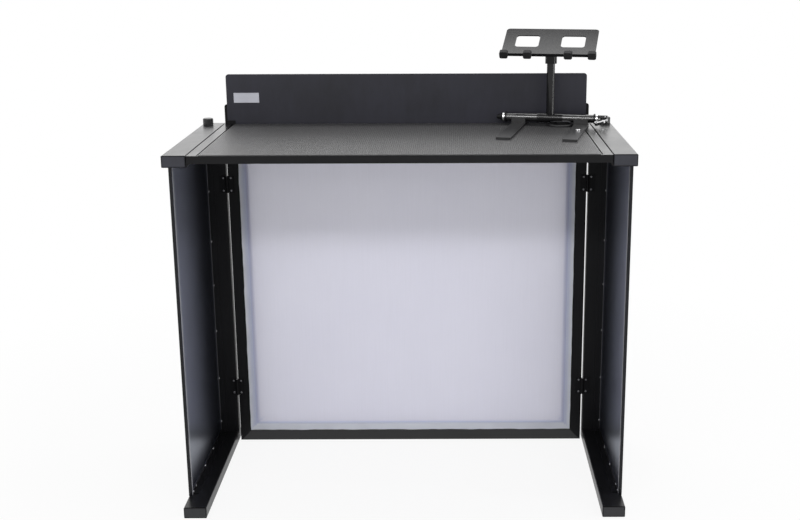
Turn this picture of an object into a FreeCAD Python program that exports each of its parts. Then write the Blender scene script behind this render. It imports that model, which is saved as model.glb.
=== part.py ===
"""Folding DJ booth: front frame with a scrim, two folding wings, a lift-off tabletop with end rails,
a lift-off guard panel and a laptop stand fixed on the tabletop.

The origin is on the floor, at the middle of the booth. +Z is up, +X is to the performer's right and
+Y points away from the performer, towards the scrim. All lengths are in millimetres."""

import FreeCAD
import Part
import os
import re

V = FreeCAD.Vector

SIZES = [
    # the booth as a whole
    ("overall_width", 1130),
    ("table_height", 940),
    ("wing_reach", 500),
    # the box tube that the frame, the feet, the posts and the end rails are made of
    ("section_width", 58),
    ("section_height", 29),
    ("tube_wall", 2),
    ("tube_corner", 2.5),
    ("cap_thickness", 2),
    ("plug_depth", 12),
    ("plug_clearance", 0.2),
    # what rests on what, and what passes what
    ("rest_gap", 0.3),
    ("hinge_gap", 5),
    # scrim
    ("scrim_margin", 33.5),
    ("scrim_side_margin", 31.5),
    ("scrim_thickness", 1),
    ("tape_width", 18),
    ("tape_thickness", 1.2),
    # hinges
    ("hinge_height", 48),
    ("hinge_top_drop", 138.7),
    ("hinge_floor_rise", 169),
    ("leaf_width", 21),
    ("leaf_thickness", 2),
    ("barrel_radius", 4),
    ("barrel_standoff", 4.5),
    ("pin_radius", 2),
    ("pin_clearance", 0.05),
    ("knuckle_gap", 0.2),
    # side panels
    ("panel_thickness", 6),
    ("panel_setback", 68),
    ("trim_wall", 1),
    ("trim_depth", 14),
    ("angle_leg", 16),
    ("angle_rise", 10),
    ("angle_wall", 1.5),
    # tabletop
    ("slab_thickness", 19),
    ("slab_recess", 1),
    ("slab_seam", 1.5),
    ("ledge_width", 8),
    ("ledge_bevel", 7),
    ("groove_width", 3.5),
    ("groove_depth", 3),
    ("groove_inset", 23),
    ("groove_start", 5),
    ("mat_thickness", 1),
    ("mat_margin", 2),
    ("knob_radius", 14),
    ("knob_height", 17),
    ("knob_edge", 3),
    ("knob_inset", 16),
    ("knob_back", 25),
    ("grommet_side", 84.5),
    ("grommet_back", 72.5),
    ("grommet_hole", 30),
    ("grommet_flange", 36),
    ("grommet_wall", 2),
    ("grommet_rise", 7),
    ("grommet_edge", 2),
    # guard
    ("guard_end_gap", 8.5),
    ("guard_height", 136),
    ("guard_thickness", 5),
    ("guard_corner", 8),
    ("guard_back", 9),
    ("bracket_height", 53),
    ("bracket_grip", 22),
    ("bracket_wall", 2),
    ("bracket_corner", 7),
    ("bracket_tab", 8),
    ("bracket_lip", 10),
    # laptop stand: place, feet and cross tube
    ("stand_side", 112.5),
    ("stand_back", 67.5),
    ("stand_yaw", 12),
    ("foot_plate_width", 38),
    ("foot_plate_thickness", 6.5),
    ("foot_plate_front", 269),
    ("foot_plate_back", 24),
    ("foot_plate_corner", 3),
    ("foot_spread", 85),
    ("saddle_length", 30),
    ("cross_radius", 11),
    ("cross_length", 250),
    ("cross_wall", 2),
    ("cross_clearance", 0.05),
    ("cross_height", 21),
    ("flange_radius", 14),
    ("flange_thickness", 4),
    ("flange_place", 119),
    ("ring_radius", 12.5),
    ("ring_width", 5),
    ("nut_radius", 10),
    ("nut_tip", 5),
    ("nut_length", 17),
    ("thumb_place", 130),
    ("thumb_radius", 6.5),
    ("thumb_height", 5.5),
    ("thumb_edge", 1.5),
    ("thumb_offset", 5),
    # laptop stand: mast, head, lever and tray
    ("mast_radius", 11),
    ("tee_radius", 12.5),
    ("tee_length", 69),
    ("collar_radius", 16),
    ("collar_height", 22),
    ("neck_radius", 7),
    ("neck_length", 15.7),
    ("head_height", 220),
    ("cheek_gap", 16.6),
    ("cheek_thickness", 5),
    ("cheek_radius", 10),
    ("head_base", 4),
    ("lug_radius", 9),
    ("pivot_radius", 4),
    ("tray_tilt", 29),
    ("tray_width", 250),
    ("tray_front", 72),
    ("tray_back", 46),
    ("tray_rise", 14),
    ("tray_thickness", 3),
    ("tray_corner", 10),
    ("tray_rim", 32),
    ("tray_spine", 60),
    ("window_corner", 8),
    ("lug_width", 16),
    ("lip_height", 9),
    ("hook_width", 22),
    ("hook_depth", 12),
    ("hook_rise", 20),
    ("hook_corner", 5),
    ("hook_outer", 117),
    ("hook_inner", 54),
    ("lever_hub", 6),
    ("lever_pin", 2.5),
    ("lever_place", 20),
    ("lever_bend", 22),
    ("lever_width", 9),
    ("lever_thickness", 5),
    ("lever_tip", 5),
    ("lever_eye", 2.4),
    ("lever_tilt", 26),
    ("clevis_length", 26),
    ("clevis_wall", 3),
    ("clevis_depth", 12),
    ("clevis_gap", 0.3),
    # cuts run this far past what they cut
    ("overrun", 5),
]

doc = FreeCAD.newDocument("dj_booth")
sheet = doc.addObject("Spreadsheet::Sheet", "Sizes")
for row, (alias, value) in enumerate(SIZES, start=1):
    sheet.set("A%d" % row, alias)
    sheet.set("B%d" % row, str(value))
    sheet.setAlias("B%d" % row, alias)
doc.recompute()

NAMES = {alias for alias, value in SIZES}
NODES = []

# Places that several pieces share, written in the sheet's sizes
NEAR = "(-(wing_reach + section_height) / 2)"
FAR = "((wing_reach + section_height) / 2)"
FACE = "((wing_reach - section_height) / 2)"
OUTER = "(overall_width / 2)"
INNER = "(overall_width / 2 - section_width)"
FRAME_SIDE = "(overall_width / 2 - section_width - hinge_gap)"
HINGE_X = "(overall_width / 2 - section_width - hinge_gap / 2)"
RAIL_BOTTOM = "(table_height - section_height)"
WING_TOP = "(table_height - section_height - rest_gap)"
SLAB_SIDE = "(overall_width / 2 - section_width - slab_seam)"
SLAB_TOP = "(table_height - slab_recess)"
SLAB_BOTTOM = "(table_height - slab_recess - slab_thickness)"
FRAME_TOP = "(table_height - slab_recess - slab_thickness - rest_gap)"
MAT_TOP = "(table_height - slab_recess + mat_thickness)"
TRIM_INNER = "(overall_width / 2 - panel_thickness - 2 * trim_wall)"
PANEL_INNER = "(overall_width / 2 - panel_thickness - trim_wall)"
PANEL_OUTER = "(overall_width / 2 - trim_wall)"
PANEL_NEAR = "(panel_setback - (wing_reach + section_height) / 2)"
GUARD_FAR = "((wing_reach + section_height) / 2 - guard_back)"
GROMMET_X = "(overall_width / 2 - section_width - slab_seam - grommet_side)"
GROMMET_Y = "((wing_reach + section_height) / 2 - grommet_back)"
STAND_X = "(overall_width / 2 - section_width - slab_seam - stand_side)"
STAND_Y = "((wing_reach + section_height) / 2 - stand_back)"
HEAD_BOTTOM = "(head_height - cheek_radius - head_base - rest_gap)"
MAST_TOP = "(%s - neck_length - collar_height)" % HEAD_BOTTOM


def size(alias):
    """A driving size, read from the sheet."""
    return float(sheet.get(alias))


def cells(text):
    """An expression on the sheet: each size's name becomes a reference to its cell."""
    return re.sub(r"[a-z][a-z_0-9]*", lambda m: "Sizes." + m.group(0) if m.group(0) in NAMES else m.group(0), text)


def bind(item, **places):
    """Bind properties of an object to expressions; x, y and z are its place."""
    for prop, text in places.items():
        path = "Placement.Base." + prop if prop in ("x", "y", "z") else prop
        item.setExpression(path, cells(text))
    return item


def node(item, name):
    """Mark an object as a finished piece of the booth."""
    item.Label = name
    NODES.append(item)
    return item


def box(x, y, z):
    """A box between two bounds along each axis."""
    item = doc.addObject("Part::Box", "Box")
    bind(item, Length="(%s) - (%s)" % (x[1], x[0]), x=x[0])
    bind(item, Width="(%s) - (%s)" % (y[1], y[0]), y=y[0])
    bind(item, Height="(%s) - (%s)" % (z[1], z[0]), z=z[0])
    return item


def sided(side, a, b):
    """The bounds of a span at a to b from the middle plane, on the left or the right."""
    if side == "right":
        return (a, b)
    return ("-(%s)" % b, "-(%s)" % a)


def cylinder(radius, height, x="0", y="0", z="0", axis=None):
    """A cylinder from a point along an axis, +Z unless said."""
    item = doc.addObject("Part::Cylinder", "Cylinder")
    if axis:
        item.Placement.Rotation = FreeCAD.Rotation(V(0, 0, 1), axis)
    return bind(item, Radius=radius, Height=height, x=x, y=y, z=z)


def cut(base, tool):
    """One solid less another."""
    item = doc.addObject("Part::Cut", "Cut")
    item.Base = base
    item.Tool = tool
    return item


def join(*pieces):
    """Several solids as one."""
    item = doc.addObject("Part::MultiFuse", "Join")
    item.Shapes = list(pieces)
    item.Refine = True
    return item


def group(*pieces):
    """Several separate, alike solids under one name."""
    item = doc.addObject("Part::Compound", "Group")
    item.Links = list(pieces)
    return item


def rounded(item, axis, radius, top_only=False):
    """A box with its edges along one axis rounded: all four, or only the two upper ones."""
    doc.recompute()
    middle = item.Shape.BoundBox.Center.z
    long_edges = []
    for number, edge in enumerate(item.Shape.Edges, start=1):
        ends = edge.Vertexes[-1].Point - edge.Vertexes[0].Point
        wanted = edge.CenterOfMass.z > middle or not top_only
        if wanted and abs(ends.normalize().dot(axis)) > 0.999:
            long_edges.append((number, size(radius), size(radius)))
    fillet = doc.addObject("Part::Fillet", "Rounded")
    fillet.Base = item
    fillet.Edges = long_edges
    return fillet


def domed(item, radius):
    """A cylinder along +Z with its upper rim rounded."""
    doc.recompute()
    top = item.Shape.BoundBox.ZMax
    rims = []
    for number, edge in enumerate(item.Shape.Edges, start=1):
        if edge.BoundBox.DiagonalLength > 0 and edge.BoundBox.ZMin > (top + item.Shape.BoundBox.ZMin) / 2:
            rims.append((number, size(radius), size(radius)))
    fillet = doc.addObject("Part::Fillet", "Domed")
    fillet.Base = item
    fillet.Edges = rims
    return fillet


def tube(x, y, z, axis):
    """Box tube along one axis, with rounded outer edges and open ends."""
    spans = {"x": x, "y": y, "z": z}
    inside = {}
    for letter, (low, high) in spans.items():
        grow = "overrun" if letter == axis else "-tube_wall"
        inside[letter] = ("(%s) - (%s)" % (low, grow), "(%s) + (%s)" % (high, grow))
    along = {"x": V(1, 0, 0), "y": V(0, 1, 0), "z": V(0, 0, 1)}[axis]
    skin = rounded(box(x, y, z), along, "tube_corner")
    return cut(skin, box(inside["x"], inside["y"], inside["z"]))


def end_cap(x, y, z, axis, plug):
    """A flat cap on a tube's end with a plug that enters the tube; plug is the plug's span along the axis."""
    spans = {"x": x, "y": y, "z": z}
    inside = {}
    for letter, (low, high) in spans.items():
        inside[letter] = ("(%s) + tube_wall + plug_clearance" % low, "(%s) - tube_wall - plug_clearance" % high)
    inside[axis] = plug
    along = {"x": V(1, 0, 0), "y": V(0, 1, 0), "z": V(0, 0, 1)}[axis]
    return join(rounded(box(x, y, z), along, "tube_corner"), box(inside["x"], inside["y"], inside["z"]))


def mitred(length, wide, inset):
    """A mitred bar along +X, its long edge on Y = inset and its short edge at wide - inset."""
    item = doc.addObject("Part::Wedge", "Mitre")
    bind(item, Xmin=inset, Xmax="(%s) - (%s)" % (length, inset))
    bind(item, Ymin=inset, Ymax="(%s) - (%s)" % (wide, inset))
    bind(item, X2min="(%s) - (%s)" % (wide, inset), X2max="(%s) - (%s) + (%s)" % (length, wide, inset))
    bind(item, Zmin=inset, Z2min=inset)
    bind(item, Zmax="section_height - (%s)" % inset, Z2max="section_height - (%s)" % inset)
    return item


def frame_bar(name, length, turn, x, z):
    """One mitred tube of the front frame, turned about its start in the frame's plane."""
    skin = rounded(mitred(length, "section_width", "0"), V(1, 0, 0), "tube_corner")
    bar = cut(skin, mitred(length, "section_width", "tube_wall"))
    bar.Placement.Rotation = FreeCAD.Rotation(V(0, 1, 0), turn).multiply(FreeCAD.Rotation(V(1, 0, 0), 90))
    bind(bar, x=x, y=FAR, z=z)
    return node(bar, name)


# Front frame: four mitred tubes that stand on the floor between the wings
FRAME_WIDTH = "(2 * %s)" % FRAME_SIDE
frame_bar("frame_bottom_rail", FRAME_WIDTH, 0, "-" + FRAME_SIDE, "0")
frame_bar("frame_right_stile", FRAME_TOP, -90, FRAME_SIDE, "0")
frame_bar("frame_top_rail", FRAME_WIDTH, 180, FRAME_SIDE, FRAME_TOP)
frame_bar("frame_left_stile", FRAME_TOP, 90, "-" + FRAME_SIDE, FRAME_TOP)

# Hook tape: a flat ring on the performer's face, and the scrim stretched over it
SCRIM_SIDE = "(%s - scrim_side_margin)" % FRAME_SIDE
SCRIM_TOP = "(%s - scrim_margin)" % FRAME_TOP
TAPE_SPAN = ("%s - tape_thickness" % FACE, FACE)
tape_outer = box(("-" + SCRIM_SIDE, SCRIM_SIDE), TAPE_SPAN, ("scrim_margin", SCRIM_TOP))
tape_inner = box(
    ("-%s + tape_width" % SCRIM_SIDE, "%s - tape_width" % SCRIM_SIDE),
    ("%s - tape_thickness - overrun" % FACE, "%s + overrun" % FACE),
    ("scrim_margin + tape_width", "%s - tape_width" % SCRIM_TOP),
)
node(cut(tape_outer, tape_inner), "scrim_hook_tape")
SCRIM_BACK = "(%s - tape_thickness)" % FACE
scrim = box(("-" + SCRIM_SIDE, SCRIM_SIDE), ("%s - scrim_thickness" % SCRIM_BACK, SCRIM_BACK), ("scrim_margin", SCRIM_TOP))
node(scrim, "scrim")

# Hinges: a leaf on the frame with two end knuckles and the pin, a leaf on the post with the middle knuckle
PIN_Y = "(%s - barrel_standoff)" % FACE
KNUCKLE = "(hinge_height / 3)"


def knuckle(side, low, high, bore):
    """One knuckle of a hinge and the bore for its pin."""
    x = HINGE_X if side == "right" else "-" + HINGE_X
    barrel = cylinder("barrel_radius", "(%s) - (%s)" % (high, low), x, PIN_Y, low)
    hole = cylinder(bore, "(%s) - (%s) + 2 * overrun" % (high, low), x, PIN_Y, "%s - overrun" % low)
    return barrel, hole


def leaf(side, toward, middle, spans, bore):
    """A hinge leaf on one side of the pin, with its knuckles at the given spans."""
    reach = ("%s + barrel_radius + knuckle_gap" % HINGE_X, "%s + leaf_width" % HINGE_X)
    tongue = (HINGE_X, "%s + leaf_width / 2" % HINGE_X)
    if toward == "frame":
        reach = ("%s - leaf_width" % HINGE_X, "%s - barrel_radius - knuckle_gap" % HINGE_X)
        tongue = ("%s - leaf_width / 2" % HINGE_X, HINGE_X)
    thick = ("%s - leaf_thickness" % FACE, FACE)
    low = "(%s - hinge_height / 2)" % middle
    pieces = [box(sided(side, *reach), thick, (low, "%s + hinge_height" % low))]
    holes = []
    for start, end in spans:
        bounds = ("%s + %s" % (low, start), "%s + %s" % (low, end))
        barrel, hole = knuckle(side, bounds[0], bounds[1], bore)
        pieces += [barrel, box(sided(side, *tongue), thick, bounds)]
        holes.append(hole)
    return cut(join(*pieces), group(*holes))


END_SPANS = [("0", "%s - knuckle_gap" % KNUCKLE), ("2 * %s + knuckle_gap" % KNUCKLE, "hinge_height")]
MIDDLE_SPAN = [(KNUCKLE, "2 * %s" % KNUCKLE)]
for side in ("left", "right"):
    pin_x = HINGE_X if side == "right" else "-" + HINGE_X
    frame_leaves = []
    wing_leaves = []
    pins = []
    for middle in ("(%s - hinge_top_drop)" % WING_TOP, "hinge_floor_rise"):
        frame_leaves.append(leaf(side, "frame", middle, END_SPANS, "pin_radius"))
        wing_leaves.append(leaf(side, "wing", middle, MIDDLE_SPAN, "pin_radius + pin_clearance"))
        pins.append(cylinder("pin_radius", "hinge_height", pin_x, PIN_Y, "%s - hinge_height / 2" % middle))
    node(group(*frame_leaves), side + "_frame_leaves")
    node(group(*pins), side + "_hinge_pins")
    node(group(*wing_leaves), side + "_wing_leaves")

# Wings: foot, post, side panel with its near trim, and the two angles that hold the panel
for side in ("left", "right"):
    wide = sided(side, INNER, OUTER)
    foot_ends = ("%s + cap_thickness" % NEAR, "%s - cap_thickness" % FAR)
    node(tube(wide, foot_ends, ("0", "section_height"), "y"), side + "_foot")
    near_cap = end_cap(wide, (NEAR, foot_ends[0]), ("0", "section_height"), "y", (foot_ends[0], "%s + plug_depth" % foot_ends[0]))
    far_cap = end_cap(wide, (foot_ends[1], FAR), ("0", "section_height"), "y", ("%s - plug_depth" % foot_ends[1], foot_ends[1]))
    node(group(near_cap, far_cap), side + "_foot_caps")
    post_top = "%s - cap_thickness" % WING_TOP
    node(tube(wide, (FACE, FAR), ("section_height", post_top), "z"), side + "_post")
    top_cap = end_cap(wide, (FACE, FAR), (post_top, WING_TOP), "z", ("%s - plug_depth" % post_top, post_top))
    node(top_cap, side + "_post_cap")
    panel = box(
        sided(side, PANEL_INNER, PANEL_OUTER),
        ("%s + trim_wall" % PANEL_NEAR, FACE),
        ("section_height", WING_TOP),
    )
    node(panel, side + "_side_panel")
    trim_skin = box(
        sided(side, TRIM_INNER, OUTER),
        (PANEL_NEAR, "%s + trim_depth" % PANEL_NEAR),
        ("section_height", WING_TOP),
    )
    trim_slot = box(
        sided(side, PANEL_INNER, PANEL_OUTER),
        ("%s + trim_wall" % PANEL_NEAR, "%s + trim_depth + overrun" % PANEL_NEAR),
        ("section_height - overrun", "%s + overrun" % WING_TOP),
    )
    node(cut(trim_skin, trim_slot), side + "_panel_trim")
    angle_flat = sided(side, "%s - angle_leg" % PANEL_INNER, PANEL_INNER)
    angle_web = sided(side, "%s - angle_wall" % PANEL_INNER, PANEL_INNER)
    tall = ("section_height", WING_TOP)
    post_angle = join(
        box(angle_flat, ("%s - angle_wall" % FACE, FACE), tall),
        box(angle_web, ("%s - angle_rise" % FACE, FACE), tall),
    )
    node(post_angle, side + "_post_angle")
    deep = ("%s + trim_depth" % PANEL_NEAR, "%s - angle_rise" % FACE)
    foot_angle = join(
        box(angle_flat, deep, ("section_height", "section_height + angle_wall")),
        box(angle_web, deep, ("section_height", "section_height + angle_rise")),
    )
    node(foot_angle, side + "_foot_angle")

# Tabletop: slab with two blind grooves and the grommet's hole, and the mat between the grooves
slab_block = box(("-" + SLAB_SIDE, SLAB_SIDE), (NEAR, FAR), (SLAB_BOTTOM, SLAB_TOP))
slab_cuts = [cylinder("grommet_hole", "slab_thickness + 2 * overrun", GROMMET_X, GROMMET_Y, "%s - overrun" % SLAB_BOTTOM)]
for side in ("left", "right"):
    groove_x = sided(side, "%s - groove_inset - groove_width" % SLAB_SIDE, "%s - groove_inset" % SLAB_SIDE)
    groove_y = ("%s + groove_start" % NEAR, "%s - groove_start" % FAR)
    slab_cuts.append(box(groove_x, groove_y, ("%s - groove_depth" % SLAB_TOP, "%s + overrun" % SLAB_TOP)))
node(cut(slab_block, group(*slab_cuts)), "table_slab")
MAT_SIDE = "(%s - groove_inset - groove_width - mat_margin)" % SLAB_SIDE
MAT_FAR = "(%s - guard_thickness - 2 * bracket_wall - mat_margin)" % GUARD_FAR
mat_sheet = box(("-" + MAT_SIDE, MAT_SIDE), ("%s + groove_start" % NEAR, MAT_FAR), (SLAB_TOP, MAT_TOP))
mat_hole = cylinder("grommet_flange + rest_gap", "mat_thickness + 2 * overrun", GROMMET_X, GROMMET_Y, "%s - overrun" % SLAB_TOP)
node(cut(mat_sheet, mat_hole), "non_slip_mat")

# Cable grommet: a sleeve through the slab with a flange on top
sleeve = cylinder("grommet_hole", "slab_thickness", GROMMET_X, GROMMET_Y, SLAB_BOTTOM)
flange = domed(cylinder("grommet_flange", "grommet_rise", GROMMET_X, GROMMET_Y, SLAB_TOP), "grommet_edge")
cable_way = cylinder(
    "grommet_hole - grommet_wall", "slab_thickness + grommet_rise + 2 * overrun",
    GROMMET_X, GROMMET_Y, "%s - overrun" % SLAB_BOTTOM,
)
node(cut(join(sleeve, flange), cable_way), "cable_grommet")


def bevelled_ledge(side, near, far):
    """The ledge under the slab: narrower below than above, from the rail's wall inwards."""
    item = doc.addObject("Part::Wedge", "Ledge")
    item.Placement.Rotation = FreeCAD.Rotation(V(1, 0, 0), 90)
    bind(item, Ymin="0", Ymax="%s - %s" % (SLAB_BOTTOM, RAIL_BOTTOM))
    bind(item, Zmin="0", Z2min="0", Zmax="(%s) - (%s)" % (far, near), Z2max="(%s) - (%s)" % (far, near))
    full = "ledge_width + tube_wall"
    if side == "right":
        bind(item, Xmin="ledge_bevel", X2min="0", Xmax=full, X2max=full, x="%s - ledge_width" % INNER)
    else:
        bind(item, Xmin="0", X2min="0", Xmax=full + " - ledge_bevel", X2max=full, x="-%s - tube_wall" % INNER)
    return bind(item, y=far, z=RAIL_BOTTOM)


# End rails: the same tube, with a bevelled ledge under the slab, a cap at both ends and a round knob
caps = []
knobs = []
for side in ("left", "right"):
    wide = sided(side, INNER, OUTER)
    rail_ends = ("%s + cap_thickness" % NEAR, "%s - cap_thickness" % FAR)
    rail_high = (RAIL_BOTTOM, "table_height")
    rail_tube = tube(wide, rail_ends, rail_high, "y")
    ledge_bar = bevelled_ledge(side, rail_ends[0], "%s - hinge_gap" % FACE)
    node(join(rail_tube, ledge_bar), side + "_end_rail")
    caps.append(end_cap(wide, (NEAR, rail_ends[0]), rail_high, "y", (rail_ends[0], "%s + plug_depth" % rail_ends[0])))
    caps.append(end_cap(wide, (rail_ends[1], FAR), rail_high, "y", ("%s - plug_depth" % rail_ends[1], rail_ends[1])))
    knob_x = "%s - knob_inset" % OUTER if side == "right" else "-(%s - knob_inset)" % OUTER
    knobs.append(domed(cylinder("knob_radius", "knob_height", knob_x, "%s - knob_back" % FAR, "table_height"), "knob_edge"))
node(group(*caps), "rail_caps")
node(group(*knobs), "rail_knobs")

# Guard panel along the far edge, and the two brackets that it stands in
GUARD_SIDE = "(%s - guard_end_gap)" % SLAB_SIDE
GUARD_NEAR = "(%s - guard_thickness)" % GUARD_FAR
GUARD_TOP = "(table_height + guard_height)"
BRACKET_TOP = "(table_height + bracket_height)"
guard_sheet = box(("-" + GUARD_SIDE, GUARD_SIDE), (GUARD_NEAR, GUARD_FAR), ("%s + rest_gap" % SLAB_TOP, GUARD_TOP))
node(rounded(guard_sheet, V(0, 1, 0), "guard_corner", top_only=True), "guard_panel")
brackets = []
for side in ("left", "right"):
    tab = sided(side, "%s - bracket_grip" % GUARD_SIDE, "%s + bracket_tab" % GUARD_SIDE)
    stop = sided(side, "%s + rest_gap" % GUARD_SIDE, "%s + rest_gap + bracket_wall" % GUARD_SIDE)
    back_span = ("%s + rest_gap" % GUARD_FAR, "%s + rest_gap + bracket_wall" % GUARD_FAR)
    front_span = ("%s - rest_gap - bracket_wall" % GUARD_NEAR, "%s - rest_gap" % GUARD_NEAR)
    back_plate = rounded(box(tab, back_span, (SLAB_TOP, BRACKET_TOP)), V(0, 1, 0), "bracket_corner", top_only=True)
    low = (SLAB_TOP, "%s + bracket_lip" % SLAB_TOP)
    end_wall = box(stop, (front_span[0], back_span[1]), low)
    lip_span = sided(side, "%s - bracket_grip" % GUARD_SIDE, "%s + rest_gap + bracket_wall" % GUARD_SIDE)
    front_lip = box(lip_span, front_span, low)
    brackets.append(join(back_plate, end_wall, front_lip))
node(group(*brackets), "guard_brackets")


# Laptop stand, in its own directions: X along the cross tube, Y away from the performer, Z up from the mat
def on_stand(item, name, lift="0", tilt=0):
    """Set a piece of the stand on the tabletop, turned with the stand and tilted about its own X."""
    piece = group(item)
    turn = FreeCAD.Rotation(V(0, 0, 1), -size("stand_yaw"))
    piece.Placement.Rotation = turn.multiply(FreeCAD.Rotation(V(1, 0, 0), tilt))
    bind(piece, x=STAND_X, y=STAND_Y, z="%s + %s" % (MAT_TOP, lift))
    return node(piece, name)


def along_cross(radius, low, high, height="cross_height"):
    """A cylinder along the cross tube's direction between two places."""
    return cylinder(radius, "(%s) - (%s)" % (high, low), low, "0", height, V(1, 0, 0))


CROSS_HALF = "(cross_length / 2)"
for side in ("left", "right"):
    plate_x = sided(side, "foot_spread - foot_plate_width / 2", "foot_spread + foot_plate_width / 2")
    plate_bar = box(plate_x, ("-foot_plate_front", "foot_plate_back"), ("0", "foot_plate_thickness"))
    saddle = box(plate_x, ("-saddle_length / 2", "saddle_length / 2"), ("foot_plate_thickness", "cross_height"))
    seat = along_cross("cross_radius + cross_clearance", "-" + CROSS_HALF, CROSS_HALF)
    plate = rounded(plate_bar, V(0, 0, 1), "foot_plate_corner")
    on_stand(cut(join(plate, saddle), seat), "stand_%s_foot" % side)
THUMB_X = "(foot_spread + thumb_offset)"
thumb = cylinder("thumb_radius", "thumb_height", THUMB_X, "-thumb_place", "foot_plate_thickness")
on_stand(domed(thumb, "thumb_edge"), "stand_thumb_screw")

# Cross tube with its flanges, bright rings and cone nut
cross_skin = along_cross("cross_radius", "-" + CROSS_HALF, CROSS_HALF)
cross_core = along_cross("cross_radius - cross_wall", "-%s - overrun" % CROSS_HALF, "%s + overrun" % CROSS_HALF)
on_stand(cut(cross_skin, cross_core), "cross_tube")
flanges = []
for low in ("-flange_place - flange_thickness", "flange_place"):
    disc = along_cross("flange_radius", low, "%s + flange_thickness" % low)
    flanges.append(cut(disc, along_cross("cross_radius", "%s - overrun" % low, "%s + flange_thickness + overrun" % low)))
on_stand(group(*flanges), "cross_flanges")
left_ring = along_cross("ring_radius", "-%s - ring_width" % CROSS_HALF, "-" + CROSS_HALF)
right_ring = along_cross("ring_radius", CROSS_HALF, "%s + ring_width" % CROSS_HALF)
on_stand(group(left_ring, right_ring), "cross_rings")
nut = doc.addObject("Part::Cone", "Nut")
nut.Placement.Rotation = FreeCAD.Rotation(V(0, 0, 1), V(-1, 0, 0))
bind(nut, Radius1="nut_radius", Radius2="nut_tip", Height="nut_length", x="-%s - ring_width" % CROSS_HALF, z="cross_height")
on_stand(nut, "cross_nut")

# Quick-release lever between two cheeks at the right end, drawn about the cross tube's middle line: its
# pin is square to the tube, its arm is a quarter bend that ends in an eye, and all of it leans to the near side
CLEVIS_X = ("%s + ring_width" % CROSS_HALF, "%s + ring_width + clevis_length" % CROSS_HALF)
CLEVIS_Y = ("-clevis_depth / 2", "clevis_depth / 2")
CLEVIS_IN = "(lever_width / 2 + clevis_gap)"
CLEVIS_OUT = "(lever_width / 2 + clevis_gap + clevis_wall)"
LEVER_X = "(%s + ring_width + lever_place)" % CROSS_HALF
LEVER_HALF = "(lever_width / 2)"
BEND_X = "(%s - lever_bend)" % LEVER_X
BEND_REACH = "(lever_bend + lever_thickness)"
BEND_SPAN = ("%s - %s" % (BEND_X, BEND_REACH), "%s + %s" % (BEND_X, BEND_REACH))


def on_clamp(item, name):
    """Set a piece of the quick-release clamp on the cross tube's middle line, leaning with the clamp."""
    return on_stand(item, name, "cross_height", size("lever_tilt"))


def square_pin(radius, half, x, y="0"):
    """A cylinder square to the cross tube, centred on its middle line."""
    return cylinder(radius, "2 * %s" % half, x, y, "-%s" % half)


cheeks = []
for low, high in (("-" + CLEVIS_OUT, "-" + CLEVIS_IN), (CLEVIS_IN, CLEVIS_OUT)):
    cheek = box(CLEVIS_X, CLEVIS_Y, (low, high))
    cheeks.append(cut(cheek, square_pin("lever_pin", "(2 * lever_width)", LEVER_X)))
on_clamp(group(*cheeks), "lever_cheeks")
on_clamp(square_pin("lever_pin", CLEVIS_OUT, LEVER_X), "lever_pin")
bend_skin = square_pin("lever_bend + lever_thickness / 2", LEVER_HALF, BEND_X)
bend_core = square_pin("lever_bend - lever_thickness / 2", "(lever_width)", BEND_X)
far_half = box(BEND_SPAN, ("0", BEND_REACH), ("-lever_width", "lever_width"))
near_quarter = box((BEND_SPAN[0], BEND_X), ("-" + BEND_REACH, "0"), ("-lever_width", "lever_width"))
arm = cut(cut(bend_skin, bend_core), group(far_half, near_quarter))
hub = square_pin("lever_hub", LEVER_HALF, LEVER_X)
tip = square_pin("lever_tip", LEVER_HALF, BEND_X, "-lever_bend")
pin_bore = square_pin("lever_pin + pin_clearance", "(lever_width)", LEVER_X)
tip_eye = square_pin("lever_eye", "(lever_width)", BEND_X, "-lever_bend")
on_clamp(cut(join(arm, hub, tip), group(pin_bore, tip_eye)), "release_lever")

# Mast with its tee sleeve, collar and neck, and the fork that carries the tray
tee = along_cross("tee_radius", "-tee_length / 2", "tee_length / 2")
mast = cylinder("mast_radius", "%s - cross_height" % MAST_TOP, z="cross_height")
tee_bore = along_cross("cross_radius", "-tee_length", "tee_length")
on_stand(cut(join(tee, mast), tee_bore), "mast")
collar = cylinder("collar_radius", "collar_height", z=MAST_TOP)
neck = cylinder("neck_radius", "collar_height + neck_length", z=MAST_TOP)
on_stand(join(collar, neck), "mast_collar")
CHEEK_OUT = "(cheek_gap / 2 + cheek_thickness)"
fork = [box(("-" + CHEEK_OUT, CHEEK_OUT), ("-cheek_radius", "cheek_radius"), (HEAD_BOTTOM, "%s + head_base" % HEAD_BOTTOM))]
for low in ("-" + CHEEK_OUT, "cheek_gap / 2"):
    high = "%s + cheek_thickness" % low
    fork.append(box((low, high), ("-cheek_radius", "cheek_radius"), ("%s + head_base" % HEAD_BOTTOM, "head_height")))
    fork.append(along_cross("cheek_radius", low, high, "head_height"))
pivot_hole = along_cross("pivot_radius", "-2 * %s" % CHEEK_OUT, "2 * %s" % CHEEK_OUT, "head_height")
on_stand(cut(join(*fork), pivot_hole), "tray_fork")
on_stand(along_cross("pivot_radius", "-" + CHEEK_OUT, CHEEK_OUT, "head_height"), "tray_pin")

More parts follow.
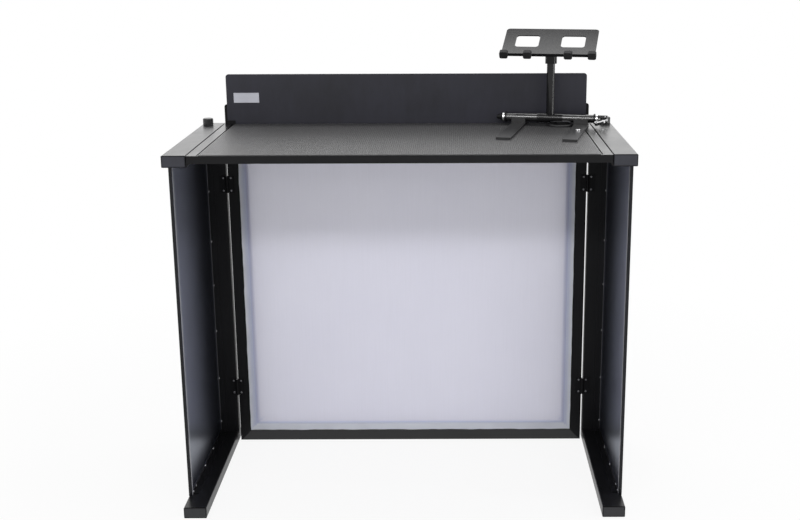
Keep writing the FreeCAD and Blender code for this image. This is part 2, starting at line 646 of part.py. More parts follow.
# Tray, drawn level with its pivot at the origin: plate with two windows, front lip, lug and four hooks
TRAY_TOP = "(tray_rise + tray_thickness)"
plate_sheet = box(("-tray_width / 2", "tray_width / 2"), ("-tray_front", "tray_back"), ("tray_rise", TRAY_TOP))
windows = []
for side in ("left", "right"):
    window = box(
        sided(side, "(tray_spine / 2)", "(tray_width / 2 - tray_rim)"),
        ("tray_rim - tray_front", "tray_back - tray_rim"),
        ("tray_rise - overrun", "%s + overrun" % TRAY_TOP),
    )
    windows.append(rounded(window, V(0, 0, 1), "window_corner"))
LIP_BOTTOM = "(tray_rise + tray_thickness - lip_height)"
lip_half = "(tray_width / 2 - tray_corner)"
lip = box(("-" + lip_half, lip_half), ("-tray_front", "tray_thickness - tray_front"), (LIP_BOTTOM, TRAY_TOP))
lug_stem = box(("-lug_width / 2", "lug_width / 2"), ("-lug_radius", "lug_radius"), ("0", "tray_rise"))
lug_eye = along_cross("lug_radius", "-lug_width / 2", "lug_width / 2", "0")
lug_bore = along_cross("pivot_radius + pin_clearance", "-lug_width", "lug_width", "0")
windowed = cut(rounded(plate_sheet, V(0, 0, 1), "tray_corner"), group(*windows))
tray = cut(join(windowed, lip, lug_stem, lug_eye), lug_bore)
on_stand(tray, "tray_plate", "head_height", size("tray_tilt"))
hooks = []
for place in ("-hook_outer", "-hook_inner", "hook_inner", "hook_outer"):
    block = box(
        ("%s - hook_width / 2" % place, "%s + hook_width / 2" % place),
        ("-tray_front - hook_depth", "-tray_front"),
        (LIP_BOTTOM, "%s + hook_rise" % LIP_BOTTOM),
    )
    hooks.append(rounded(block, V(0, 1, 0), "hook_corner"))
on_stand(group(*hooks), "tray_hooks", "head_height", size("tray_tilt"))

doc.recompute()

# Every object is checked before anything is written
for item in doc.Objects:
    if "Invalid" in item.State or "Error" in item.State:
        raise RuntimeError("%s failed: %s" % (item.Label, item.State))
for item in NODES:
    if item.Shape.isNull() or not item.Shape.isValid():
        raise RuntimeError("%s has no valid shape" % item.Label)

os.makedirs("parts", exist_ok=True)
for item in NODES:
    item.Shape.exportStep("parts/%s.step" % item.Label)
print("%d pieces written" % len(NODES))
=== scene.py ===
"""Looks of the folding DJ booth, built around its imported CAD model."""

import math

import bmesh
import bpy
from mathutils import Matrix, Vector


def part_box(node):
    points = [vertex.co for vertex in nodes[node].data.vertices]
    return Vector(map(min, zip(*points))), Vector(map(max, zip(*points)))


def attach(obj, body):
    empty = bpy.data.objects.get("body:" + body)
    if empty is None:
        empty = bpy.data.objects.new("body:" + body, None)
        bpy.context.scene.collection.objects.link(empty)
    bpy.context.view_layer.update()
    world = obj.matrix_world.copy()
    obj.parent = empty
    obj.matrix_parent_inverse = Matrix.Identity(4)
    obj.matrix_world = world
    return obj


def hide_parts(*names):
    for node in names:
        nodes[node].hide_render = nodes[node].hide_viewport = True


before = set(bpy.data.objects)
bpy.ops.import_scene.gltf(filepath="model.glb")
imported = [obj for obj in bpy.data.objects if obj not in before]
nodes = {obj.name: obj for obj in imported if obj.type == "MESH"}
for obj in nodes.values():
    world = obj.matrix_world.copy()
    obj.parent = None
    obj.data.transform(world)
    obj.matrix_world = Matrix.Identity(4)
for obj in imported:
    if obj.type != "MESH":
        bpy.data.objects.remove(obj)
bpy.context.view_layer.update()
scene = bpy.context.scene
scene.view_settings.view_transform = "Standard"

MM = 0.001
SIDES = ((-1, "left"), (1, "right"))

# Camera
CAMERA_PLACE = (0.1181, -3.0769, 1.4305)
CAMERA_PITCH = 0.2598
CAMERA_YAW = -0.0009
CAMERA_ROLL = -0.0036
CAMERA_LENS = 54.16
CAMERA_SHIFT_X = -0.0609

camera_data = bpy.data.cameras.new("photo_camera")
camera_data.sensor_fit = "HORIZONTAL"
camera_data.lens = CAMERA_LENS
camera_data.shift_x = CAMERA_SHIFT_X
camera = bpy.data.objects.new("photo_camera", camera_data)
turn = Matrix.Rotation(-CAMERA_YAW, 3, "Z")
turn = turn @ Matrix.Rotation(math.pi / 2 - CAMERA_PITCH, 3, "X")
turn = turn @ Matrix.Rotation(CAMERA_ROLL, 3, "Z")
camera.rotation_euler = turn.to_euler()
camera.location = CAMERA_PLACE
scene.collection.objects.link(camera)
scene.camera = camera


# Node helpers
def add(tree, kind, settings=None, values=None):
    """A new node with its settings, and plain values on its input sockets."""
    made = tree.nodes.new("ShaderNode" + kind)
    for name, value in (settings or {}).items():
        setattr(made, name, value)
    for name, value in (values or {}).items():
        made.inputs[name].default_value = value
    return made


def link(tree, source, output, target, socket):
    """Joins an output socket to an input socket."""
    tree.links.new(source.outputs[output], target.inputs[socket])


def rgba(colour):
    """A colour with full alpha."""
    return (*colour, 1.0)


def shaded(colour, share):
    """The same colour, lighter or darker."""
    return tuple(min(channel * share, 1.0) for channel in colour)


def new_surface(name, values):
    """A material with one Principled shader; gives the material, its tree and the shader."""
    material = bpy.data.materials.new(name)
    material.use_nodes = True
    tree = material.node_tree
    tree.nodes.clear()
    output = add(tree, "OutputMaterial")
    shader = add(tree, "BsdfPrincipled", values=values)
    link(tree, shader, "BSDF", output, "Surface")
    return material, tree, shader


def place(tree, stretch=(1, 1, 1), turn=(0, 0, 0)):
    """Coordinates of the piece in metres, stretched and turned."""
    source = add(tree, "TexCoord")
    mapping = add(tree, "Mapping", values={"Scale": stretch, "Rotation": turn})
    link(tree, source, "Object", mapping, "Vector")
    return mapping


def noise(tree, where, scale, detail=3.0, rough=0.55):
    """A noise texture on the given coordinates."""
    made = add(tree, "TexNoise", values={"Scale": scale, "Detail": detail, "Roughness": rough})
    link(tree, where, "Vector", made, "Vector")
    return made


def spread(tree, source, output, low, high, to_low, to_high):
    """Carries a texture's range over to another range."""
    made = add(tree, "MapRange", {"clamp": True})
    for name, value in zip(("From Min", "From Max", "To Min", "To Max"), (low, high, to_low, to_high)):
        made.inputs[name].default_value = value
    link(tree, source, output, made, "Value")
    return made


NOISE_LOW = 0.3
NOISE_HIGH = 0.7


def tint(tree, source, output, dark, light, low=NOISE_LOW, high=NOISE_HIGH):
    """A colour between two, driven by a texture."""
    ramp = add(tree, "ValToRGB")
    ramp.color_ramp.elements[0].position = low
    ramp.color_ramp.elements[0].color = rgba(dark)
    ramp.color_ramp.elements[1].position = high
    ramp.color_ramp.elements[1].color = rgba(light)
    link(tree, source, output, ramp, "Fac")
    return ramp


def bump(tree, source, output, shader, strength, distance, below=None):
    """Bumps a shader by a texture, on top of another bump if there is one."""
    made = add(tree, "Bump", values={"Strength": strength, "Distance": distance})
    link(tree, source, output, made, "Height")
    if below is not None:
        link(tree, below, "Normal", made, "Normal")
    link(tree, made, "Normal", shader, "Normal")
    return made


# A Mix node's sockets share their names, so those for colours go by number
COLOUR_MIX_INPUTS = (0, 6, 7)
COLOUR_MIX_OUTPUT = 2


def blend(tree, colours, other, share):
    """The output of a mix from a colour socket to another colour, by a share socket."""
    mixed = add(tree, "Mix", {"data_type": "RGBA"})
    factor, first, second = (mixed.inputs[i] for i in COLOUR_MIX_INPUTS)
    tree.links.new(share, factor)
    tree.links.new(colours, first)
    second.default_value = rgba(other)
    return mixed.outputs[COLOUR_MIX_OUTPUT]


CLOUD_SCALE = 7.0
CLOUD_DETAIL = 4.0
SMEAR_SCALE = 38.0
SMEAR_DETAIL = 5.0
SMEAR_ROUGHNESS = 0.7
SMEAR_STRETCH = (1.0, 1.0, 0.25)
SMEAR_TURN = (0.2, 0.3, 0.1)
SMEAR_SHARE = 0.45
TONE_LOW = 0.32
TONE_HIGH = 0.68
GRAIN_DETAIL = 2.0
GRAIN_STRENGTH = 0.35
LEAST_ROUGHNESS = 0.02
LACQUER_IOR = 1.45
LACQUER_TINT = (0.72, 0.8, 1.0)
SEAM_WIDTH = 3.6 * MM
SEAM_SHARE = 0.95
# Dark seam round a cap: partly the black tube wall, partly painted shade of the gap
SEAM_WALL_AND_SHADE_BLACK = (0.004, 0.004, 0.004)


def seam_and_shade_share(tree, low, high):
    """Up to SEAM_SHARE on the outline of a face between two corners, 0 inside it, alike left and right; the
    outline it marks is partly black tube wall and partly painted shade.
    """
    split = add(tree, "SeparateXYZ")
    link(tree, place(tree), "Vector", split, "Vector")
    mirrored = add(tree, "Math", {"operation": "ABSOLUTE"})
    link(tree, split, "X", mirrored, 0)
    highest = add(tree, "Math", {"operation": "MAXIMUM"})
    axes = ((mirrored, "Value", low.x, high.x), (split, "Z", low.z, high.z))
    for i, (source, output, first, last) in enumerate(axes):
        shifted = add(tree, "Math", {"operation": "SUBTRACT"}, {1: (first + last) / 2})
        link(tree, source, output, shifted, 0)
        reach = add(tree, "Math", {"operation": "ABSOLUTE"})
        link(tree, shifted, "Value", reach, 0)
        half = (last - first) / 2
        share = spread(tree, reach, "Value", half - SEAM_WIDTH, half, 0.0, SEAM_SHARE)
        link(tree, share, "Result", highest, i)
    return highest


def coated(name, colour, rough, grain, depth, specular=0.5, vary=0.35, lift=0.06, lacquer=0.0, seam=None):
    """A coated or moulded surface: grain, cloudy gloss, smears, perhaps a lacquer or a dark seam, which is
    partly the black tube wall and partly painted shade of the gap.
    """
    material, tree, shader = new_surface(name, {
        "Specular IOR Level": specular,
        "Coat Weight": lacquer,
        "Coat IOR": LACQUER_IOR,
        "Coat Roughness": rough,
        "Coat Tint": rgba(LACQUER_TINT),
    })
    where = place(tree)
    cloud = noise(tree, where, CLOUD_SCALE, CLOUD_DETAIL)
    smear_place = place(tree, SMEAR_STRETCH, SMEAR_TURN)
    smear = noise(tree, smear_place, SMEAR_SCALE, SMEAR_DETAIL, SMEAR_ROUGHNESS)
    fine = noise(tree, where, grain, GRAIN_DETAIL)
    both = add(tree, "Mix", {"data_type": "FLOAT"}, {"Factor": SMEAR_SHARE})
    link(tree, cloud, "Fac", both, "A")
    link(tree, smear, "Fac", both, "B")
    dark, light = shaded(colour, 1 - vary), shaded(colour, 1 + vary)
    colours = tint(tree, both, "Result", dark, light, TONE_LOW, TONE_HIGH)
    if seam is None:
        link(tree, colours, "Color", shader, "Base Color")
    else:
        share = seam_and_shade_share(tree, *seam)
        # The seam is darkened to near black: part black tube wall, part painted shade
        outlined = blend(tree, colours.outputs["Color"], SEAM_WALL_AND_SHADE_BLACK, share.outputs["Value"])
        tree.links.new(outlined, shader.inputs["Base Color"])
        # The seam also loses its gloss, as part of the same painted shade
        seam_shade_specular = spread(tree, share, "Value", 0.0, 1.0, specular, 0.0)
        link(tree, seam_shade_specular, "Result", shader, "Specular IOR Level")
    smoothest = max(rough - lift, LEAST_ROUGHNESS)
    gloss = spread(tree, both, "Result", NOISE_LOW, NOISE_HIGH, smoothest, rough + lift)
    link(tree, gloss, "Result", shader, "Roughness")
    bump(tree, fine, "Fac", shader, GRAIN_STRENGTH, depth)
    return material


SCRATCH_STRETCH = (1.0, 0.06, 1.0)
SCRATCH_TURN = (0.0, 0.0, 0.35)
SCRATCH_SCALE = 900.0
SCRATCH_STRENGTH = 0.12
SCRATCH_DEPTH = 0.02 * MM
METAL_CLOUD_SCALE = 60.0
METAL_DARK_SHARE = 0.9
SMOOTH_METAL_SHARE = 0.6
ROUGH_METAL_SHARE = 1.5


def bright_metal(name, colour, rough):
    """Plated metal with fine polishing scratches and slightly clouded gloss."""
    material, tree, shader = new_surface(name, {"Metallic": 1.0})
    where = place(tree)
    lines = noise(tree, place(tree, SCRATCH_STRETCH, SCRATCH_TURN), SCRATCH_SCALE)
    cloud = noise(tree, where, METAL_CLOUD_SCALE, CLOUD_DETAIL)
    colours = tint(tree, cloud, "Fac", shaded(colour, METAL_DARK_SHARE), colour)
    link(tree, colours, "Color", shader, "Base Color")
    smoothest, roughest = rough * SMOOTH_METAL_SHARE, rough * ROUGH_METAL_SHARE
    gloss = spread(tree, cloud, "Fac", NOISE_LOW, NOISE_HIGH, smoothest, roughest)
    link(tree, gloss, "Result", shader, "Roughness")
    bump(tree, lines, "Fac", shader, SCRATCH_STRENGTH, SCRATCH_DEPTH)
    return material


# Radians that a wave texture of scale 1 turns through in a metre
WAVE_RATE = 20.0


def ribs(tree, turn, pitch):
    """Even ribs across one turned direction, a pitch apart."""
    where = place(tree, turn=turn)
    wave = add(tree, "TexWave", {"wave_type": "BANDS", "bands_direction": "X", "wave_profile": "SIN"})
    wave.inputs["Scale"].default_value = 2 * math.pi / (WAVE_RATE * pitch)
    link(tree, where, "Vector", wave, "Vector")
    return wave


def crossed(tree, first, second, operation):
    """Two textures put together by one operation."""
    made = add(tree, "Math", {"operation": operation})
    tree.links.new(first.outputs["Fac"], made.inputs[0])
    tree.links.new(second.outputs["Fac"], made.inputs[1])
    return made


MAT_PITCH = 7.0 * MM
MAT_SPECULAR = 1.0
MAT_CLOUD_SCALE = 5.0
MAT_GRAIN_SCALE = 1400.0
MAT_GRAIN_STRENGTH = 0.3
MAT_GRAIN_DEPTH = 0.06 * MM
MAT_DARK_SHARE = 0.75
MAT_LIGHT_SHARE = 1.3
DIAMOND_TOP = 0.8
DIAMOND_DEPTH = 0.6 * MM
PIT_ROUGHER = 0.34
TOP_SMOOTHER = 0.12


def non_slip(name, colour, rough):
    """A non-slip sheet with fine diamonds pressed into it."""
    material, tree, shader = new_surface(name, {"Specular IOR Level": MAT_SPECULAR})
    rising = ribs(tree, (0, 0, math.pi / 4), MAT_PITCH)
    falling = ribs(tree, (0, 0, -math.pi / 4), MAT_PITCH)
    diamonds = crossed(tree, rising, falling, "MULTIPLY")
    where = place(tree)
    cloud = noise(tree, where, MAT_CLOUD_SCALE, CLOUD_DETAIL)
    fine = noise(tree, where, MAT_GRAIN_SCALE, GRAIN_DETAIL)
    colours = tint(tree, cloud, "Fac", shaded(colour, MAT_DARK_SHARE), shaded(colour, MAT_LIGHT_SHARE))
    link(tree, colours, "Color", shader, "Base Color")
    gloss = spread(tree, diamonds, "Value", 0.0, DIAMOND_TOP, rough + PIT_ROUGHER, rough - TOP_SMOOTHER)
    link(tree, gloss, "Result", shader, "Roughness")
    grain = bump(tree, fine, "Fac", shader, MAT_GRAIN_STRENGTH, MAT_GRAIN_DEPTH)
    bump(tree, diamonds, "Value", shader, 1.0, DIAMOND_DEPTH, grain)
    return material


WEAVE_PITCH = 0.9 * MM
WEAVE_STRENGTH = 0.25
WEAVE_DEPTH = 0.12 * MM
SLUB_STRETCH = (60.0, 1.0, 1.5)
SLUB_SCALE = 6.0
SLUB_SHARE = 0.35
SLUB_STRENGTH = 0.15
SLUB_DEPTH = 0.15 * MM
CLOTH_CLOUD_SCALE = 3.0
CLOTH_DARK_SHARE = 0.965
CLOTH_LIGHT_SHARE = 1.02
# Share of the doubled hem's lighter, bluer tone, which is painted light
HEM_PAINTED_LIGHT_SHARE = 0.9
# Share of the painted shade along the hem's inner fold
CREASE_SHADE_SHARE = 0.75


def woven(name, colour, hem_painted_light, crease_shade_colour, rough):
    """Plain-weave cloth: woven bump, slubs, soft sheen, clouded white, a doubled hem whose lighter, bluer
    tone is painted light, and painted shade along the hem's inner fold.
    """
    material, tree, shader = new_surface(name, {
        "Sheen Weight": 0.25,
        "Sheen Roughness": 0.5,
        "Specular IOR Level": 0.15,
        "Roughness": rough,
        "Subsurface Weight": 0.55,
        "Subsurface Radius": (1.0, 1.0, 1.0),
        "Subsurface Scale": 4.0 * MM,
    })
    warp = ribs(tree, (0, 0, 0), WEAVE_PITCH)
    weft = ribs(tree, (0, math.pi / 2, 0), WEAVE_PITCH)
    threads = crossed(tree, warp, weft, "ADD")
    slub = noise(tree, place(tree, SLUB_STRETCH), SLUB_SCALE)
    cloud = noise(tree, place(tree), CLOTH_CLOUD_SCALE)
    both = add(tree, "Mix", {"data_type": "FLOAT"}, {"Factor": SLUB_SHARE})
    link(tree, cloud, "Fac", both, "A")
    link(tree, slub, "Fac", both, "B")
    middle = tint(tree, both, "Result", shaded(colour, CLOTH_DARK_SHARE), shaded(colour, CLOTH_LIGHT_SHARE))
    colours = middle.outputs["Color"]
    # Painted light on the doubled hem, then painted shade along its inner fold
    marks = (("doubled", HEM_PAINTED_LIGHT_SHARE, hem_painted_light), ("crease_shade", CREASE_SHADE_SHARE, crease_shade_colour))
    for attribute, tone_share, other in marks:
        marked = add(tree, "Attribute", {"attribute_name": attribute})
        share = spread(tree, marked, "Fac", 0.0, 1.0, 0.0, tone_share)
        colours = blend(tree, colours, other, share.outputs["Result"])
    tree.links.new(colours, shader.inputs["Base Color"])
    coarse = bump(tree, slub, "Fac", shader, SLUB_STRENGTH, SLUB_DEPTH)
    bump(tree, threads, "Value", shader, WEAVE_STRENGTH, WEAVE_DEPTH, coarse)
    return material


LOOP_SCALE = 900.0
# Painted shade in the loops' hollows and painted light on their tops
LOOP_HOLLOW_SHADE_SHARE = 0.6
LOOP_TOP_LIGHT_SHARE = 1.3
LOOP_TONE_LOW = 0.1
LOOP_TONE_HIGH = 0.6
LOOP_STRENGTH = 0.6
LOOP_DEPTH = 0.4 * MM


def looped(name, colour):
    """Hook tape: dense short loops, with painted shade in their low hollows and painted light on their
    raised tops.
    """
    material, tree, shader = new_surface(name, {"Roughness": 0.9, "Sheen Weight": 0.4})
    cells = add(tree, "TexVoronoi", values={"Scale": LOOP_SCALE})
    link(tree, place(tree), "Vector", cells, "Vector")
    dark, light = shaded(colour, LOOP_HOLLOW_SHADE_SHARE), shaded(colour, LOOP_TOP_LIGHT_SHARE)
    colours = tint(tree, cells, "Distance", dark, light, LOOP_TONE_LOW, LOOP_TONE_HIGH)
    link(tree, colours, "Color", shader, "Base Color")
    bump(tree, cells, "Distance", shader, LOOP_STRENGTH, LOOP_DEPTH)
    return material


# Looks of the record's material slots
BLACK = (0.008, 0.008, 0.009)
SOFT_BLACK = (0.013, 0.013, 0.014)
CAP_GREY = (0.027, 0.028, 0.037)
# Painted shade: a darker copy of the cap grey for the foot caps
FOOT_CAP_SHADED_GREY = (0.023, 0.023, 0.026)
CHARCOAL = (0.0145, 0.0145, 0.023)
CHROME = (0.82, 0.82, 0.83)
STEEL = (0.30, 0.30, 0.31)
ZINC = (0.17, 0.17, 0.18)
PLATED = (0.5, 0.5, 0.52)
TAPE_WHITE = (0.80, 0.80, 0.85)
SCRIM_WHITE = (0.765, 0.76, 0.96)
# Painted light: the doubled hem's lighter, bluer white, also used for the hem thread
HEM_PAINTED_LIGHT_WHITE = (0.84, 0.88, 1.0)
# Painted shade along the hem's inner fold
CREASE_SHADE_BLUE = (0.5, 0.54, 0.85)

LOOKS = {
    "black_tube": coated("satin_black_powder_coat", BLACK, rough=0.38, grain=1100.0, depth=0.05 * MM,
                         specular=0.12, vary=0.2, lift=0.03),
    "end_cap": coated("moulded_cap_plastic", CAP_GREY, rough=0.5, grain=1500.0, depth=0.12 * MM,
                      specular=0.4),
    "panel_black": coated("lacquered_sheet", BLACK, rough=0.31, grain=1300.0, depth=0.01 * MM,
                          specular=0.3, vary=0.15, lift=0.02, lacquer=1.0),
    "trim_black": coated("smooth_trim_plastic", BLACK, rough=0.17, grain=1600.0, depth=0.02 * MM,
                         specular=0.1, vary=0.15, lift=0.02, lacquer=0.35),
    "angle_black": coated("black_angle_coat", BLACK, rough=0.4, grain=1200.0, depth=0.06 * MM,
                          specular=0.12),
    "hinge_black": coated("black_hinge_coat", BLACK, rough=0.42, grain=1000.0, depth=0.08 * MM,
                          specular=0.08),
    "pin_steel": bright_metal("pin_steel", STEEL, 0.3),
    "scrim_white": woven("scrim_cloth", SCRIM_WHITE, HEM_PAINTED_LIGHT_WHITE, CREASE_SHADE_BLUE, 0.85),
    "hook_tape": looped("hook_tape_loops", TAPE_WHITE),
    "slab_black": coated("black_slab_laminate", BLACK, rough=0.3, grain=1300.0, depth=0.03 * MM,
                         specular=0.15, vary=0.2, lift=0.03),
    "mat_black": non_slip("non_slip_diamonds", SOFT_BLACK, 0.33),
    "grommet_black": coated("moulded_black_plastic", SOFT_BLACK, rough=0.4, grain=1500.0,
                            depth=0.08 * MM, specular=0.45),
    "guard_black": coated("charcoal_guard_coat", CHARCOAL, rough=0.45, grain=1200.0, depth=0.06 * MM,
                          specular=0.4),
    "stand_black": coated("gloss_black_stand", BLACK, rough=0.14, grain=1200.0, depth=0.02 * MM,
                          specular=0.2, lift=0.03),
    "bright_chrome": bright_metal("bright_chrome", CHROME, 0.1),
    "hook_rubber": coated("hook_rubber", SOFT_BLACK, rough=0.65, grain=1400.0, depth=0.12 * MM,
                          specular=0.35),
}

# Looks of single nodes that differ from the rest of their slot
worn_rail = coated("worn_rail_coat", BLACK, rough=0.31, grain=1100.0, depth=0.05 * MM, specular=0.16,
                   vary=0.2, lift=0.03)
rubbed_rail = coated("rubbed_rail_coat", BLACK, rough=0.3, grain=1100.0, depth=0.05 * MM, specular=0.45,
                     vary=0.2, lift=0.03)
foot_plate = coated("satin_foot_plate", BLACK, rough=0.4, grain=1200.0, depth=0.03 * MM, specular=0.6,
                    vary=0.2, lift=0.03)
gloss_tube = coated("gloss_cross_tube", BLACK, rough=0.1, grain=1200.0, depth=0.01 * MM, specular=1.0,
                    vary=0.2, lift=0.02)
gloss_mast = coated("gloss_mast", BLACK, rough=0.12, grain=1200.0, depth=0.01 * MM, specular=0.32,
                    vary=0.2, lift=0.02)
CAP_WIDTH = 58.0 * MM
rail_caps_low, rail_caps_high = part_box("rail_caps")
right_rail_cap = (Vector((rail_caps_high.x - CAP_WIDTH, 0, rail_caps_low.z)), rail_caps_high)
right_foot_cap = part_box("right_foot_caps")
# Cap looks with a dark seam that is partly tube wall and partly painted shade
rail_cap = coated("rail_cap_plastic", CAP_GREY, rough=0.5, grain=1500.0, depth=0.12 * MM, specular=0.4,
                  seam=right_rail_cap)
# The foot caps take the darker cap grey, which is painted shade
shaded_foot_cap = coated("shaded_foot_cap_plastic", FOOT_CAP_SHADED_GREY, rough=0.5, grain=1500.0, depth=0.12 * MM,
                  specular=0.4, seam=right_foot_cap)
OWN_LOOKS = {
    "left_end_rail": worn_rail,
    "right_end_rail": worn_rail,
    "left_foot": worn_rail,
    "right_foot": worn_rail,
    "frame_bottom_rail": rubbed_rail,
    "stand_left_foot": foot_plate,
    "stand_right_foot": foot_plate,
    "cross_tube": gloss_tube,
    "mast": gloss_mast,
    "rail_caps": rail_cap,
    "left_foot_caps": shaded_foot_cap,
    "right_foot_caps": shaded_foot_cap,
}
for name, node in nodes.items():
    slot = node.data.materials[0].name
    node.data.materials[0] = OWN_LOOKS.get(name, LOOKS[slot])


# Piece helpers
def piece(name, mesh, body, look, smooth=None):
    """A finished mesh as a piece that rides on a body."""
    data = bpy.data.meshes.new(name)
    bmesh.ops.recalc_face_normals(mesh, faces=mesh.faces)
    mesh.to_mesh(data)
    mesh.free()
    made = bpy.data.objects.new(name, data)
    scene.collection.objects.link(made)
    data.materials.append(look)
    if smooth is not None:
        data.shade_smooth()
        data.set_sharp_from_angle(angle=smooth)
    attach(made, body)
    return made


# Scrim cloth: stretched over its tape ring, with a doubled hem, puckered edges and corners
SCRIM_LOW, SCRIM_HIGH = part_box("scrim")
SIDE_HEM = 18.0 * MM
END_HEM = 24.5 * MM
CLOTH_THICKNESS = 0.7 * MM
CLOTH_STEP = 7.0 * MM
EDGE_WANDER = 0.9 * MM
PUCKER_HEIGHT = 0.55 * MM
PUCKER_REACH = 55.0 * MM
HEM_RISE = 0.45 * MM
CORNER_HEIGHT = 1.1 * MM
CORNER_REACH = 45.0 * MM
CORNER_WAVE = 420.0
DEEPEST_PUCKER = 0.1 * MM
HEM_STEP_SHARE = 0.06
# Reach and place of the painted shade along the hem's inner fold, as shares of the hem
SIDE_CREASE_SHADE_SHARE = 0.75
END_CREASE_SHADE_SHARE = 0.22
CREASE_SHADE_PLACE_SHARE = 0.95
WANDER_STRETCH = 0.6
WANDER_SEED = 5.0
HEM_ROW_SHARES = (0.0, 0.06, 0.14, 0.3, 0.5, 0.7, 0.86, 0.94, 1.0, 1.06, 1.14, 1.3)
RIPPLE_RATE_SHARES = ((61.0, 0.45), (127.0, 0.35), (233.0, 0.2))


def graded(low, high, step, hem):
    """Places along a side: close together at the hem, wider apart in the middle."""
    ends = [share * hem for share in HEM_ROW_SHARES]
    between = high - low - 2 * ends[-1]
    count = max(int(between / step), 2)
    inner = [low + ends[-1] + between * i / count for i in range(1, count)]
    return [low + d for d in ends] + inner + [high - d for d in reversed(ends)]


def ripple(along, seed):
    """A slow irregular wave along an edge, from -1 to 1."""
    return sum(share * math.sin(rate * (along + seed)) for rate, share in RIPPLE_RATE_SHARES)


def cloth_point(x, z):
    """Where a point of the flat cloth lies, how much of it is doubled hem, and how much of the painted shade
    along the hem's inner fold it gets.
    """
    left, right = x - SCRIM_LOW.x, SCRIM_HIGH.x - x
    down, up = z - SCRIM_LOW.z, SCRIM_HIGH.z - z
    side, end = min(left, right), min(down, up)
    beside = side < end
    lower = left < right if beside else down < up
    along = z if beside else x
    seed = (1.0 if lower else 2.0) + (0.0 if beside else 2.0)
    fade = max(0.0, 1.0 - min(side, end) / PUCKER_REACH)
    rise = PUCKER_HEIGHT * fade * fade * ripple(along, seed)
    hem_share = min(side / SIDE_HEM, end / END_HEM)
    hem = min(max((1.0 + HEM_STEP_SHARE - hem_share) / (2 * HEM_STEP_SHARE), 0.0), 1.0)
    rise += HEM_RISE * hem
    corner = max(0.0, 1.0 - math.hypot(side, end) / CORNER_REACH)
    rise += CORNER_HEIGHT * corner * (1.0 + math.sin(CORNER_WAVE * (side - end))) / 2
    edge = max(0.0, 1.0 - hem_share)
    wander = EDGE_WANDER * edge * ripple(along * WANDER_STRETCH, seed + WANDER_SEED)
    shift = wander if lower else -wander
    shift_x, shift_z = (shift, 0.0) if beside else (0.0, shift)
    front = SCRIM_HIGH.y - CLOTH_THICKNESS - max(rise, -DEEPEST_PUCKER)
    reach = SIDE_CREASE_SHADE_SHARE if beside else END_CREASE_SHADE_SHARE
    # Painted shade: a band along the hem's inner fold
    crease_shade = max(0.0, 1.0 - abs(hem_share - CREASE_SHADE_PLACE_SHARE) / reach)
    return (x + shift_x, front, z + shift_z), hem, crease_shade


def scrim_cloth():
    """The cloth as a closed thin sheet."""
    columns = graded(SCRIM_LOW.x, SCRIM_HIGH.x, CLOTH_STEP, SIDE_HEM)
    rows = graded(SCRIM_LOW.z, SCRIM_HIGH.z, CLOTH_STEP, END_HEM)
    mesh = bmesh.new()
    hem_layer = mesh.verts.layers.float.new("doubled")
    crease_shade_layer = mesh.verts.layers.float.new("crease_shade")
    front = []
    back = []
    for z in rows:
        for x in columns:
            spot, hem, crease_shade = cloth_point(x, z)
            ahead = mesh.verts.new(spot)
            behind = mesh.verts.new((spot[0], SCRIM_HIGH.y, spot[2]))
            for corner in (ahead, behind):
                corner[hem_layer] = hem
                corner[crease_shade_layer] = crease_shade
            front.append(ahead)
            back.append(behind)
    wide = len(columns)
    tall = len(rows)
    for r in range(tall - 1):
        for c in range(wide - 1):
            loop = (r * wide + c, r * wide + c + 1, (r + 1) * wide + c + 1, (r + 1) * wide + c)
            mesh.faces.new([front[i] for i in loop])
            mesh.faces.new([back[i] for i in reversed(loop)])
    bottom = list(range(wide))
    right = [r * wide + wide - 1 for r in range(tall)]
    top = [(tall - 1) * wide + c for c in range(wide - 1, -1, -1)]
    left = [r * wide for r in range(tall - 1, -1, -1)]
    rim = bottom[:-1] + right[:-1] + top[:-1] + left[:-1]
    for i, j in zip(rim, rim[1:] + rim[:1]):
        mesh.faces.new((front[i], back[i], back[j], front[j]))
    return mesh


CLOTH_SMOOTH = math.radians(50)
cloth = piece("scrim_cloth", scrim_cloth(), "front_frame", LOOKS["scrim_white"], CLOTH_SMOOTH)
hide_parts("scrim")

# Stitches along the hem
STITCH_PITCH = 4.2 * MM
STITCH_ROW_SHARE = 0.86
STITCH_SHARE = 0.72
STITCH_WIDTH = 0.8 * MM
STITCH_RISE = 0.35 * MM
STITCH_TAPER_SHARE = 0.25


def stitch(mesh, start, end):
    """One thread stitch lying on the hem: a low pointed loaf."""
    a, b = Vector(start), Vector(end)
    along = b - a
    across = Vector((along.z, 0, -along.x)).normalized() * (STITCH_WIDTH / 2)
    up = Vector((0, -STITCH_RISE, 0))
    near, far = a + along * STITCH_TAPER_SHARE, b - along * STITCH_TAPER_SHARE
    corners = (a, near + across, far + across, b, far - across, near - across)
    low = [mesh.verts.new(p) for p in corners]
    first = mesh.verts.new(near + up)
    last = mesh.verts.new(far + up)
    for i, j, top in ((0, 1, first), (2, 3, last), (3, 4, last), (5, 0, first)):
        mesh.faces.new((low[i], low[j], top))
    mesh.faces.new((low[1], low[2], last, first))
    mesh.faces.new((low[4], low[5], first, last))
    mesh.faces.new(low[::-1])


